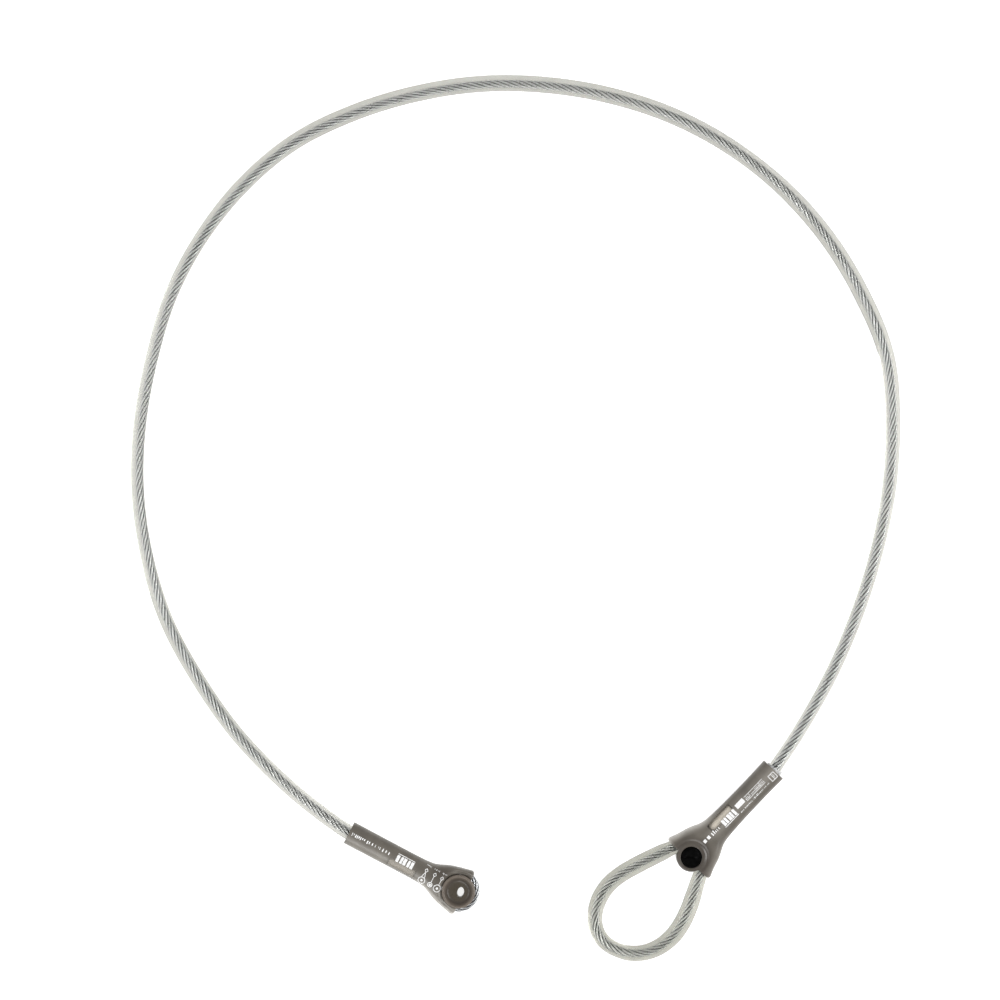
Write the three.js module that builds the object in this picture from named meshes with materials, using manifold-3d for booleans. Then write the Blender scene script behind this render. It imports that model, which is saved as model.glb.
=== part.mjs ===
// Sheathed steel-cable anchor strop, 2 m long: a small eye at one end, a large loop at the other.
// It lies flat in a wide open ring. Millimetres, +Z up, z = 0 is the surface that it lies on.

import * as THREE from 'three';
import { mergeVertices } from 'three/addons/utils/BufferGeometryUtils.js';
import Module from 'manifold-3d';

const wasm = await Module();
wasm.setup();

// Driving dimensions
const ROPE_RADIUS = 2.8;
const SHEATH_RADIUS = 6.0;
const SHEATH_BORE_RADIUS = 3.4;
const CORD_SIDES = 10;
const BORE_SIDES = 8;
const AXIS_HEIGHT = 8.5;
const REST = 6.05;

const FERRULE_LENGTH = 25.4;
const FERRULE_HALF_WIDTH = 8.3;
const FERRULE_HALF_HEIGHT = 6.0;
const ROPE_OFFSET = 3.45;
const FERRULE_BORE_RADIUS = 3.15;

const EYE = { x: -88.3, y: -45.0, turn: 152.1, ferruleStart: 38.9, mouth: 104.3 };
const EYE_HALF_HEIGHT = 8.0;
const EYE_ROPE_TURN = { radius: 15.2, from: -72, to: -288, steps: 10 };
const BUSH_FLANGE_RADIUS = 14.2;
const BUSH_ROOT_RADIUS = 12.1;
const BUSH_HALF_HEIGHT = 8.4;
const BUSH_HOLE = { u: -2.1, alongU: 2.8, alongV: 4.3, lean: 17 };

const HEAD = { x: 107.2, y: -16.1, turn: 46.3, ferruleStart: 27.9, mouth: 101.0 };
const HEAD_HALF_HEIGHT = 8.5;
const TONGUE_RADIUS = 12.4;
const LEG_CHANNEL_RADIUS = 6.4;
const PLUG_RADIUS = 8.7;
const PLUG_BARREL_RADIUS = 4.6;
const PLUG_SHANK_RADIUS = 2.6;
const PLUG_TOP = 9.1;
const PLUG_SLOT_WIDTH = 1.5;
const PLUG_SLOT_DEPTH = 1.0;

const COLLAR = { outer: 7.3, inner: 6.75, sides: 14, fromEnd: 38, toEnd: 24, steps: 3 };

const GAP = 0.3;
const ROPE_CLEARANCE = 0.5;
const CABLE_JOIN_GAP = 0.8;
const LONG = 60;
const COVER_SIDES = 24;
const COVER_WALL = 1.9;
const HEAD_SQUARENESS = 3.4;
const TAIL_SQUARENESS = 2.3;
const SQUARE_TO_ROUND = { from: 8, to: 36 };
const SLOT = { front: -20, halfHeight: ROPE_RADIUS + ROPE_CLEARANCE, squareness: 5 };

// Where the cable's three lengths meet, in mm along it from its start inside the eye's cover
const MIDDLE_START = 742;
const MIDDLE_END = 1042;
const CABLE_STEPS = { eyeSide: 26, middle: 10, loopSide: 32 };
const LOOP_STEPS = 24;
const LEG_STEPS = 10;
const CHANNEL_STEPS = 12;
const EYE_ROPE_STEPS = 44;

// Half widths of the two covers seen from above, at distances from the middle of their heads
const EYE_COVER_WIDTHS = [
  [-5.3, 18.6], [-4.6, 19.7], [-3.0, 20.3], [-0.4, 19.8], [3.8, 18.8], [9, 17.6], [13.2, 16.5],
  [17.4, 15.0], [21.6, 13.1], [24.6, 11.8], [28, 10.7], [34, 10.0], [42, 9.75], [70, 9.7],
  [EYE.mouth, 9.8],
];
const HEAD_COVER_WIDTHS = [
  [-3.6, 22.0], [-2.9, 23.2], [-1.3, 23.8], [1.6, 22.7], [5.8, 21.0], [11, 19.4], [15.2, 18.1],
  [19.4, 16.3], [23.6, 14.2], [27, 12.9], [31, 12.1], [38, 11.5], [50, 11.0], [62, 10.8],
  [74, 10.7], [88, 10.8], [HEAD.mouth, 11.1],
];

// The hollows inside the covers: distance along, half width, half height and squareness
const EYE_TUNNEL = [
  [34.9, 8.65, 6.35, 2.3], [66, 8.65, 6.35, 2.3], [72, 8.75, 6.8, 3], [110, 8.75, 6.8, 3],
];
const HEAD_TUNNEL = [
  [20, 8.65, 6.8, 2.3], [54, 8.65, 6.8, 2.3], [62, 8.8, 6.9, 2.4], [72, 9.2, 7.2, 2.65],
  [88, 9.65, 7.5, 2.9], [106, 9.65, 7.5, 2.9],
];

// The rope inside the covers, along and across each fitting: ring side first
const EYE_LIVE_ROPE = [
  [75, -2.3], [64.4, -ROPE_OFFSET], [51, -ROPE_OFFSET], [38.9, -ROPE_OFFSET], [32, -4.4], [24, -7.2],
];
const EYE_DEAD_ROPE = [
  [24, 7.2], [32, 4.4], [38.9, ROPE_OFFSET], [51, ROPE_OFFSET], [68.5, ROPE_OFFSET],
];
const HEAD_LIVE_ROPE = [
  [65, -2.2], [53.3, -ROPE_OFFSET], [40, -ROPE_OFFSET], [27.9, -ROPE_OFFSET], [21, -5.9], [15.3, -8.3],
];
const HEAD_DEAD_ROPE = [
  [57.5, ROPE_OFFSET], [53.3, ROPE_OFFSET], [40, ROPE_OFFSET], [27.9, ROPE_OFFSET], [21, 5.9], [15.3, 8.3],
];

// Where each leg's channel starts, ahead of the ferrule
const LEG_MEETING = { u: 24, v: 5.2 };

// The bush's upper side and the plug's two halves, turned round their axes: radius and height
const BUSH_UPPER = [
  [0, 4.2], [6, 4.3], [8.6, 4.6], [9.8, 5.4], [11.0, 7.0], [12.0, BUSH_HALF_HEIGHT],
  [BUSH_FLANGE_RADIUS - 0.8, BUSH_HALF_HEIGHT], [BUSH_FLANGE_RADIUS, BUSH_HALF_HEIGHT - 0.8],
  [BUSH_FLANGE_RADIUS, ROPE_RADIUS + 0.5], [BUSH_ROOT_RADIUS, ROPE_RADIUS - 0.1],
];
const PLUG_BASE = [
  [0, -5.5], [0, -8.3], [PLUG_RADIUS - 0.5, -8.3], [PLUG_RADIUS, -7.8], [PLUG_RADIUS, -6.7],
  [PLUG_BARREL_RADIUS, -6.7], [PLUG_BARREL_RADIUS, 6.2], [PLUG_SHANK_RADIUS + GAP, 6.2],
  [PLUG_SHANK_RADIUS + GAP, -5.5], [0, -5.5],
];
const PLUG_CAP = [
  [0, -5.1], [PLUG_SHANK_RADIUS, -5.1], [PLUG_SHANK_RADIUS, 6.7], [PLUG_RADIUS, 6.7],
  [PLUG_RADIUS, PLUG_TOP - 0.9], [PLUG_RADIUS - 0.9, PLUG_TOP], [0, PLUG_TOP],
];
const TONGUE = [
  [0, -HEAD_HALF_HEIGHT], [TONGUE_RADIUS - 1.2, -HEAD_HALF_HEIGHT],
  [TONGUE_RADIUS, 1.6 - HEAD_HALF_HEIGHT], [TONGUE_RADIUS, HEAD_HALF_HEIGHT - 1.6],
  [TONGUE_RADIUS - 1.2, HEAD_HALF_HEIGHT], [0, HEAD_HALF_HEIGHT],
];

// The cable inside the two covers, along and across each fitting, in the cable's own order
const EYE_TAIL_ROUTE = [[75.4, -2.2], [85, -1.3], [95, -0.5]];
const HEAD_TAIL_ROUTE = [[95, -0.7], [80, -1.6], [65.4, -2.1]];

// The cable's free route from the eye's cover round to the loop's cover: x, y and height
const CABLE_ROUTE = [
  [-179.7, 3.4, 8.5], [-203.7, 19.9, 8.1], [-234.3, 44.8, 6.9], [-275.3, 86.8, REST],
  [-308.3, 133.6, REST], [-335.1, 183.7, REST], [-351.2, 237.6, REST], [-358.7, 293.4, REST],
  [-356.7, 348.4, REST], [-346.7, 403.4, REST], [-330.7, 456.4, REST], [-304.7, 505.4, REST],
  [-269.7, 549.4, REST], [-226.7, 585.4, REST], [-175.7, 610.4, REST], [-122.7, 626.4, REST],
  [-68.7, 634.4, REST], [-13.7, 633.4, REST], [40.3, 624.4, REST], [92.3, 607.4, REST],
  [141.6, 580.9, REST], [184.8, 547, REST], [221.7, 505.7, REST], [251.3, 457.4, REST],
  [272.3, 405.4, REST], [277.7, 349.4, REST], [274.5, 293.2, REST], [263.8, 239.4, REST],
  [247.3, 187, REST], [224.8, 135.1, 6.9], [195.6, 84.1, 8.2], [181.6, 63.3, 8.5], [177.9, 57.7, 8.5],
];

// The loop's route from one leg's exit to the other, across and along the loop's cover, and height
const LOOP_ROUTE = [
  [15, 8.4, 8.5], [5, 12.2, 8.5], [-4, 15.5, 8.5], [-13, 19, 8.4], [-22, 22.3, 8.1],
  [-36, 27.1, 7.2], [-52, 31.7, 6.4], [-65, 33.1, REST], [-78, 31, REST], [-90, 25.1, REST],
  [-99, 15.3, REST], [-102.5, 3.6, REST], [-100.7, -8.3, REST], [-94, -20.6, REST], [-84, -29.4, REST],
  [-72, -34.4, REST], [-59, -35.8, 6.4], [-45, -33.6, 7.0], [-32, -29, 7.7], [-22, -24.3, 8.1],
  [-13, -19.8, 8.4], [-4, -15.7, 8.5], [5, -12.2, 8.5], [15, -8.4, 8.5],
];

// Materials
function plastic(name, color, roughness, opacity = 1) {
  return new THREE.MeshStandardMaterial({
    name, color, roughness, metalness: 0, opacity, transparent: opacity < 1,
  });
}

function metal(name, color, roughness) {
  return new THREE.MeshStandardMaterial({ name, color, roughness, metalness: 1 });
}

const clearPlastic = plastic('clear_sheath', 0xd2d6ca, 0.25, 0.45);
const smokyPlastic = plastic('smoky_cover', 0x6f6962, 0.35, 0.8);
const bushPlastic = plastic('bush_plastic', 0x6b6458, 0.5);
const blackPlastic = plastic('black_plug', 0x0b0b0b, 0.2);
const steel = metal('steel_wire', 0xa9adb0, 0.4);
const aluminium = metal('ferrule', 0xb9b19b, 0.45);

// Solids from geometry and back
function toSolid(geometry) {
  const bare = geometry.clone();
  bare.deleteAttribute('normal');
  bare.deleteAttribute('uv');
  const merged = mergeVertices(bare, 1e-4);
  return new wasm.Manifold(new wasm.Mesh({
    numProp: 3,
    vertProperties: new Float32Array(merged.attributes.position.array),
    triVerts: new Uint32Array(merged.index.array),
  }));
}

function toGeometry(solid) {
  const mesh = solid.getMesh();
  const geometry = new THREE.BufferGeometry();
  geometry.setAttribute('position', new THREE.BufferAttribute(new Float32Array(mesh.vertProperties), 3));
  geometry.setIndex(new THREE.BufferAttribute(new Uint32Array(mesh.triVerts), 1));
  geometry.computeVertexNormals();
  return geometry;
}

function named(name, geometry, material) {
  const mesh = new THREE.Mesh(geometry, material);
  mesh.name = name;
  return mesh;
}

// A closed skin over rings of points that follow each other
function loft(rings) {
  const sides = rings[0].length;
  const index = [];
  for (let ring = 0; ring < rings.length - 1; ring += 1) {
    for (let side = 0; side < sides; side += 1) {
      const here = ring * sides + side;
      const beside = ring * sides + ((side + 1) % sides);
      index.push(here, beside, beside + sides, here, beside + sides, here + sides);
    }
  }
  const last = (rings.length - 1) * sides;
  for (let side = 1; side < sides - 1; side += 1) {
    index.push(0, side + 1, side);
    index.push(last, last + side, last + side + 1);
  }
  const geometry = new THREE.BufferGeometry();
  geometry.setFromPoints(rings.flat());
  geometry.setIndex(index);
  return geometry;
}

// A rounded section across a cover's axis; squareness 2 is an ellipse
function coverRing([u, halfWidth, halfHeight, squareness]) {
  const points = [];
  for (let side = 0; side < COVER_SIDES; side += 1) {
    const angle = (side / COVER_SIDES) * 2 * Math.PI;
    const across = Math.sign(Math.cos(angle)) * Math.abs(Math.cos(angle)) ** (2 / squareness);
    const up = Math.sign(Math.sin(angle)) * Math.abs(Math.sin(angle)) ** (2 / squareness);
    points.push(new THREE.Vector3(u, halfWidth * across, halfHeight * up));
  }
  return points;
}

function coverLoft(rows) {
  return toSolid(loft(rows.map(coverRing)));
}

// The outside of a cover: flat-topped at the head and nearly elliptical at the tail
function coverSkin(widths, halfHeight) {
  return coverLoft(widths.map(([u, halfWidth]) => {
    const tail = THREE.MathUtils.smoothstep(u, SQUARE_TO_ROUND.from, SQUARE_TO_ROUND.to);
    return [u, halfWidth, halfHeight, THREE.MathUtils.lerp(HEAD_SQUARENESS, TAIL_SQUARENESS, tail)];
  }));
}

function discSection(radius, sides) {
  const points = [];
  for (let side = 0; side < sides; side += 1) {
    const angle = ((side + 0.5) / sides) * 2 * Math.PI;
    points.push(new THREE.Vector2(radius * Math.cos(angle), radius * Math.sin(angle)));
  }
  return new THREE.Shape(points);
}

function ringSection(outer, outerSides, inner, innerSides) {
  const shape = discSection(outer, outerSides);
  shape.holes.push(discSection(inner, innerSides));
  return shape;
}

function sweep(section, curve, steps) {
  return new THREE.ExtrudeGeometry(section, { extrudePath: curve, steps, bevelEnabled: false });
}

// A stretch of a longer curve, between two distances along it
function stretchOf(curve, from, to, count) {
  const length = curve.getLength();
  const points = [];
  for (let step = 0; step <= count; step += 1) {
    points.push(curve.getPointAt(THREE.MathUtils.lerp(from, to, step / count) / length));
  }
  return new THREE.CatmullRomCurve3(points);
}

// A smooth line through points along and across a fitting, on its axis height
function flatCurve(points) {
  return new THREE.CatmullRomCurve3(points.map(([u, v]) => new THREE.Vector3(u, v, 0)));
}

// A profile of radius and height turned round the vertical
function turned(profile, sides) {
  const points = profile.map(([radius, height]) => new THREE.Vector2(radius, height));
  const geometry = new THREE.LatheGeometry(points, sides);
  geometry.rotateX(Math.PI / 2);
  return geometry;
}

function drum(radius, low, high, sides = 32) {
  const geometry = new THREE.CylinderGeometry(radius, radius, high - low, sides);
  geometry.rotateX(Math.PI / 2);
  geometry.translate(0, 0, (low + high) / 2);
  return toSolid(geometry);
}

// A point given along and across a fitting's axis, in the part's own frame
function onFitting(fitting, u, v, height) {
  const turn = THREE.MathUtils.degToRad(fitting.turn);
  return new THREE.Vector3(
    fitting.x + u * Math.cos(turn) - v * Math.sin(turn),
    fitting.y + u * Math.sin(turn) + v * Math.cos(turn),
    height,
  );
}

function fittingGroup(fitting) {
  const group = new THREE.Group();
  group.position.set(fitting.x, fitting.y, AXIS_HEIGHT);
  group.rotation.z = THREE.MathUtils.degToRad(fitting.turn);
  return group;
}

// The pressed ferrule: an oval block with two bores side by side for the live rope and its dead end
function ferruleGeometry() {
  const section = new THREE.Shape();
  section.absellipse(0, 0, FERRULE_HALF_WIDTH, FERRULE_HALF_HEIGHT, 0, 2 * Math.PI);
  for (const side of [-1, 1]) {
    const bore = new THREE.Path();
    bore.absarc(side * ROPE_OFFSET, 0, FERRULE_BORE_RADIUS, 0, 2 * Math.PI, true);
    section.holes.push(bore);
  }
  const geometry = new THREE.ExtrudeGeometry(section, {
    depth: FERRULE_LENGTH, bevelEnabled: false, curveSegments: 9,
  });
  geometry.rotateX(Math.PI / 2);
  geometry.rotateZ(Math.PI / 2);
  return geometry;
}

// Eye end: a keeper bush in the small eye, the rope round it, the ferrule and the smoky cover
function eyeRopeCurve() {
  const { radius, from, to, steps } = EYE_ROPE_TURN;
  const turn = [];
  for (let step = 0; step <= steps; step += 1) {
    const angle = THREE.MathUtils.degToRad(THREE.MathUtils.lerp(from, to, step / steps));
    turn.push([radius * Math.cos(angle), radius * Math.sin(angle)]);
  }
  return flatCurve([...EYE_LIVE_ROPE, ...turn, ...EYE_DEAD_ROPE]);
}

function eyeCover() {
  const slotWidths = EYE_COVER_WIDTHS.filter(([u]) => u < EYE.ferruleStart)
    .map(([u, halfWidth]) => [u, halfWidth - COVER_WALL]);
  const slot = [
    [SLOT.front, slotWidths[0][1]], ...slotWidths, [EYE.ferruleStart - 2, FERRULE_HALF_WIDTH - GAP],
  ];
  const channel = sweep(discSection(SLOT.halfHeight, CORD_SIDES), eyeRopeCurve(), EYE_ROPE_STEPS);
  return toGeometry(coverSkin(EYE_COVER_WIDTHS, EYE_HALF_HEIGHT)
    .subtract(coverLoft(EYE_TUNNEL))
    .subtract(coverLoft(slot.map(([u, halfWidth]) => [u, halfWidth, SLOT.halfHeight, SLOT.squareness])))
    .subtract(toSolid(channel))
    .subtract(drum(BUSH_FLANGE_RADIUS + GAP, -LONG, LONG)));
}

function eyeBush() {
  const lower = BUSH_UPPER.map(([radius, height]) => [radius, -height]);
  const body = toSolid(turned([...lower, ...BUSH_UPPER.slice().reverse()], 30));
  const hole = new THREE.CylinderGeometry(1, 1, LONG, 24);
  hole.rotateX(Math.PI / 2);
  hole.scale(BUSH_HOLE.alongU, BUSH_HOLE.alongV, 1);
  hole.rotateZ(THREE.MathUtils.degToRad(BUSH_HOLE.lean));
  hole.translate(BUSH_HOLE.u, 0, 0);
  return toGeometry(body.subtract(toSolid(hole)));
}

// Loop end: the smoky Y-shaped cover, its ferrule, both rope legs, a clear collar and a slotted plug
function legCurve(side) {
  const legs = LOOP_ROUTE.slice(0, 5).map(([u, v]) => [u, side * Math.abs(v)]);
  return flatCurve([[LEG_MEETING.u, side * LEG_MEETING.v], ...legs]);
}

function headCover() {
  let cover = coverSkin(HEAD_COVER_WIDTHS, HEAD_HALF_HEIGHT)
    .add(toSolid(turned(TONGUE, 32)))
    .subtract(coverLoft(HEAD_TUNNEL));
  for (const side of [-1, 1]) {
    const channel = sweep(discSection(LEG_CHANNEL_RADIUS, 16), legCurve(side), CHANNEL_STEPS);
    cover = cover.subtract(toSolid(channel));
  }
  return toGeometry(cover
    .subtract(drum(PLUG_BARREL_RADIUS + GAP, -LONG, LONG))
    .subtract(drum(PLUG_RADIUS + GAP, LEG_CHANNEL_RADIUS, LONG))
    .subtract(drum(PLUG_RADIUS + GAP, -LONG, -LEG_CHANNEL_RADIUS)));
}

function headRope(points) {
  return sweep(discSection(ROPE_RADIUS, CORD_SIDES), flatCurve(points), LEG_STEPS);
}

function plugBase() {
  return toGeometry(toSolid(turned(PLUG_BASE, 28)));
}

function plugCap() {
  const slot = new THREE.BoxGeometry(LONG, PLUG_SLOT_WIDTH, 2 * PLUG_SLOT_DEPTH);
  slot.rotateZ(THREE.MathUtils.degToRad(-HEAD.turn));
  slot.translate(0, 0, PLUG_TOP);
  return toGeometry(toSolid(turned(PLUG_CAP, 28)).subtract(toSolid(slot)));
}

// The cable and the loop
const cableCurve = new THREE.CatmullRomCurve3([
  ...EYE_TAIL_ROUTE.map(([u, v]) => onFitting(EYE, u, v, AXIS_HEIGHT)),
  ...CABLE_ROUTE.map(([x, y, z]) => new THREE.Vector3(x, y, z)),
  ...HEAD_TAIL_ROUTE.map(([u, v]) => onFitting(HEAD, u, v, AXIS_HEIGHT)),
]);
cableCurve.arcLengthDivisions = 2000;
const cableLength = cableCurve.getLength();

const loopCurve = new THREE.CatmullRomCurve3(
  LOOP_ROUTE.map(([u, v, z]) => onFitting(HEAD, u, v, z)),
);

const sheathSection = ringSection(SHEATH_RADIUS, CORD_SIDES, SHEATH_BORE_RADIUS, BORE_SIDES);
const ropeSection = discSection(ROPE_RADIUS, BORE_SIDES);

const group = new THREE.Group();
group.name = 'cable_strop';

const eye = fittingGroup(EYE);
const eyeRope = sweep(discSection(ROPE_RADIUS, CORD_SIDES), eyeRopeCurve(), EYE_ROPE_STEPS);
const eyeFerrule = named('eye_ferrule', ferruleGeometry(), aluminium);
eyeFerrule.position.x = EYE.ferruleStart;
eye.add(
  named('eye_cover', eyeCover(), smokyPlastic),
  named('eye_keeper_bush', eyeBush(), bushPlastic),
  named('eye_rope_turn', eyeRope, steel),
  eyeFerrule,
);

const head = fittingGroup(HEAD);
const headFerrule = named('loop_ferrule', ferruleGeometry(), aluminium);
headFerrule.position.x = HEAD.ferruleStart;
head.add(
  named('loop_cover', headCover(), smokyPlastic),
  named('loop_live_leg', headRope(HEAD_LIVE_ROPE), steel),
  named('loop_dead_end', headRope(HEAD_DEAD_ROPE), steel),
  named('plug_barrel', plugBase(), blackPlastic),
  named('plug_screw', plugCap(), blackPlastic),
  headFerrule,
);

const collarCurve = stretchOf(
  cableCurve, cableLength - COLLAR.fromEnd, cableLength - COLLAR.toEnd, COLLAR.steps,
);
const collarSection = ringSection(COLLAR.outer, COLLAR.sides, COLLAR.inner, COLLAR.sides);
group.add(
  eye,
  head,
  named('loop_tail_collar', sweep(collarSection, collarCurve, COLLAR.steps), clearPlastic),
  named('loop_sheath', sweep(sheathSection, loopCurve, LOOP_STEPS), clearPlastic),
  named('loop_rope', sweep(ropeSection, loopCurve, LOOP_STEPS), steel),
);

const lengths = [
  ['eye_side', 0, MIDDLE_START, CABLE_STEPS.eyeSide],
  ['middle', MIDDLE_START + CABLE_JOIN_GAP, MIDDLE_END, CABLE_STEPS.middle],
  ['loop_side', MIDDLE_END + CABLE_JOIN_GAP, cableLength, CABLE_STEPS.loopSide],
];
for (const [place, from, to, steps] of lengths) {
  const curve = stretchOf(cableCurve, from, to, steps);
  group.add(
    named(`sheath_${place}`, sweep(sheathSection, curve, steps), clearPlastic),
    named(`rope_${place}`, sweep(ropeSection, curve, steps), steel),
  );
}

export default group;
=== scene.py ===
"""A sheathed steel-cable anchor strop, 2 m long, with a small eye at one end and a large loop at the other.

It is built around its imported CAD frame, in metres, +Z up, and lies flat on a pale floor.
"""

import math
import random

import bpy
import numpy as np
from mathutils import Matrix, Vector
from mathutils.bvhtree import BVHTree


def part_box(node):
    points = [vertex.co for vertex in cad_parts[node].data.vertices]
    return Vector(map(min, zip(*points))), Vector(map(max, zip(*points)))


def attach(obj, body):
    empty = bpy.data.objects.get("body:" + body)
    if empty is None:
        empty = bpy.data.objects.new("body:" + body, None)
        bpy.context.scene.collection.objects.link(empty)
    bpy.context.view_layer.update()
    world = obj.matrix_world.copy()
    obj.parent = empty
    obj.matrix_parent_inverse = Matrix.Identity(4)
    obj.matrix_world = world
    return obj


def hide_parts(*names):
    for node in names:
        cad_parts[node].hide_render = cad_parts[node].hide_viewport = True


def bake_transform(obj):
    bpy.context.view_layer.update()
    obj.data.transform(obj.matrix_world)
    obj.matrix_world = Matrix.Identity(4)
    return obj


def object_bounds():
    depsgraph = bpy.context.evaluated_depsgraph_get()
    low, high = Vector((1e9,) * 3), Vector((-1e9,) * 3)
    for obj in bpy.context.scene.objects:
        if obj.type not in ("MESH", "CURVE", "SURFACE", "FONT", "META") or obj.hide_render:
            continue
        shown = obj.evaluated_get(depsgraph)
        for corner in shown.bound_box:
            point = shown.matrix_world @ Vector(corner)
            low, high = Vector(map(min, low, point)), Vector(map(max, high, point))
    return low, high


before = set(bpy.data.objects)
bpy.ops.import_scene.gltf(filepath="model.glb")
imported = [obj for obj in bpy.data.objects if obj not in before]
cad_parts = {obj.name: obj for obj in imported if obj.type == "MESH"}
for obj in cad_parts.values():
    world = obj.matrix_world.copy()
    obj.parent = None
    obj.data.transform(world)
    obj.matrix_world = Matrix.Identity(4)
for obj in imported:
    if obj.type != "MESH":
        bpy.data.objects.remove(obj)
cad_low, cad_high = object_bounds()

UP = np.array([0.0, 0.0, 1.0])
MM = 0.001

# The rope and its sheath
STRANDS = 6
STRAND_RADIUS = 0.00092
STRAND_OFFSET = 0.00188
STRAND_SIDES = 10
STRAND_STEP = 0.0016
LAY = 0.041
SHEATH_RADIUS = 0.006
SHEATH_BORE_RADIUS = 0.0034
SHEATH_SIDES = 40
BORE_SIDES = 24
SHEATH_STEP = 0.003
AXIS_HEIGHT = 0.0085
REST = 0.00605

# Where the cable's three lengths meet, along it from its start inside the eye's cover
MIDDLE_START = 0.742
MIDDLE_END = 1.042

# The cable's free route from the eye's cover round to the loop's cover
CABLE_ROUTE = [
    (-0.1797, 0.0034, 0.0085), (-0.2037, 0.0199, 0.0081), (-0.2343, 0.0448, 0.0069),
    (-0.2753, 0.0868, REST), (-0.3083, 0.1336, REST), (-0.3351, 0.1837, REST), (-0.3512, 0.2376, REST),
    (-0.3587, 0.2934, REST), (-0.3567, 0.3484, REST), (-0.3467, 0.4034, REST), (-0.3307, 0.4564, REST),
    (-0.3047, 0.5054, REST), (-0.2697, 0.5494, REST), (-0.2267, 0.5854, REST), (-0.1757, 0.6104, REST),
    (-0.1227, 0.6264, REST), (-0.0687, 0.6344, REST), (-0.0137, 0.6334, REST), (0.0403, 0.6244, REST),
    (0.0923, 0.6074, REST), (0.1416, 0.5809, REST), (0.1848, 0.547, REST), (0.2217, 0.5057, REST),
    (0.2513, 0.4574, REST), (0.2723, 0.4054, REST), (0.2777, 0.3494, REST), (0.2745, 0.2932, REST),
    (0.2638, 0.2394, REST), (0.2473, 0.187, REST), (0.2248, 0.1351, 0.0069), (0.1956, 0.0841, 0.0082),
    (0.1816, 0.0633, 0.0085), (0.1779, 0.0577, 0.0085),
]

# The loop's route from one leg's exit to the other, along and across the loop's cover, and height
LOOP_ROUTE = [
    (0.015, 0.0084, 0.0085), (0.005, 0.0122, 0.0085), (-0.004, 0.0155, 0.0085), (-0.013, 0.019, 0.0084),
    (-0.022, 0.0223, 0.0081), (-0.036, 0.0271, 0.0072), (-0.052, 0.0317, 0.0064), (-0.065, 0.0331, REST),
    (-0.078, 0.031, REST), (-0.09, 0.0251, REST), (-0.099, 0.0153, REST), (-0.1025, 0.0036, REST),
    (-0.1007, -0.0083, REST), (-0.094, -0.0206, REST), (-0.084, -0.0294, REST), (-0.072, -0.0344, REST),
    (-0.059, -0.0358, 0.0064), (-0.045, -0.0336, 0.007), (-0.032, -0.029, 0.0077),
    (-0.022, -0.0243, 0.0081), (-0.013, -0.0198, 0.0084), (-0.004, -0.0157, 0.0085),
    (0.005, -0.0122, 0.0085), (0.015, -0.0084, 0.0085),
]

# The cable inside the two covers, along and across each fitting, in the cable's own order
EYE_TAIL_ROUTE = [(0.0754, -0.0022), (0.085, -0.0013), (0.095, -0.0005)]
HEAD_TAIL_ROUTE = [(0.095, -0.0007), (0.080, -0.0016), (0.0654, -0.0021)]

# The sheath's half width as it lies, at distances along the cable and along the loop
CABLE_WIDTHS = [
    (0.0, 0.0060), (0.03, 0.0062), (0.09, 0.0061), (0.15, 0.0059), (0.28, 0.0058), (0.34, 0.0053),
    (0.48, 0.0053), (0.58, 0.0057), (0.68, 0.0064), (0.76, 0.0068), (1.03, 0.0068), (1.13, 0.0066),
    (1.20, 0.0070), (1.28, 0.0070), (1.34, 0.0066), (1.43, 0.0060), (1.50, 0.0055), (1.735, 0.0054),
]
LOOP_WIDTHS = [
    (0.0, 0.0060), (0.022, 0.0060), (0.032, 0.0068), (0.050, 0.0071), (0.090, 0.0069), (0.130, 0.0061),
    (0.148, 0.0060), (0.165, 0.0065), (0.190, 0.0069), (0.205, 0.0072), (0.235, 0.0070), (0.252, 0.0063),
    (0.262, 0.0060), (0.282, 0.0060),
]
# How far the bore and its rope lie towards the inside of the ring
CABLE_SHIFTS = [
    (0.0, 0.0), (0.12, 0.0), (0.26, 0.0008), (0.36, 0.0016), (0.50, 0.0016), (0.62, 0.0008),
    (0.72, 0.0005), (0.82, 0.0008), (0.95, 0.0005), (1.12, 0.0), (1.735, 0.0),
]


def middle_of(node):
    low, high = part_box(node)
    return (low + high) / 2


class Fitting:
    """A frame with its origin in the middle of a fitting's head and its first axis along the fitting."""

    def __init__(self, node, turn):
        middle = middle_of(node)
        self.matrix = Matrix.Translation((middle.x, middle.y, AXIS_HEIGHT)) @ Matrix.Rotation(
            math.radians(turn), 4, "Z"
        )

    def at(self, along, across, height=AXIS_HEIGHT):
        return tuple(self.matrix @ Vector((along, across, height - AXIS_HEIGHT)))


HEAD_TURN = 46.3
EYE = Fitting("eye_keeper_bush", 152.1)
HEAD = Fitting("plug_screw", HEAD_TURN)
EYE_MOUTH = 0.1043
HEAD_MOUTH = 0.101


# Lines


def catmull_rom(points, steps):
    """Closely spaced points of the centripetal spline through the given ones."""
    knots = np.array(points, float)
    padded = np.vstack([2 * knots[0] - knots[1], knots, 2 * knots[-1] - knots[-2]])
    found = []
    for before, here, there, after in zip(padded, padded[1:], padded[2:], padded[3:]):
        gap_before = max(np.linalg.norm(here - before) ** 0.5, 1e-6)
        gap = max(np.linalg.norm(there - here) ** 0.5, 1e-6)
        gap_after = max(np.linalg.norm(after - there) ** 0.5, 1e-6)
        out = (here - before) / gap_before - (there - before) / (gap_before + gap) + (there - here) / gap
        into = (there - here) / gap - (after - here) / (gap + gap_after) + (after - there) / gap_after
        share = np.linspace(0, 1, steps, endpoint=False)[:, None]
        square, cube = share**2, share**3
        found.append(
            (2 * cube - 3 * square + 1) * here
            + (cube - 2 * square + share) * gap * out
            + (3 * square - 2 * cube) * there
            + (cube - square) * gap * into
        )
    return np.vstack([*found, knots[-1:]])


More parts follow.
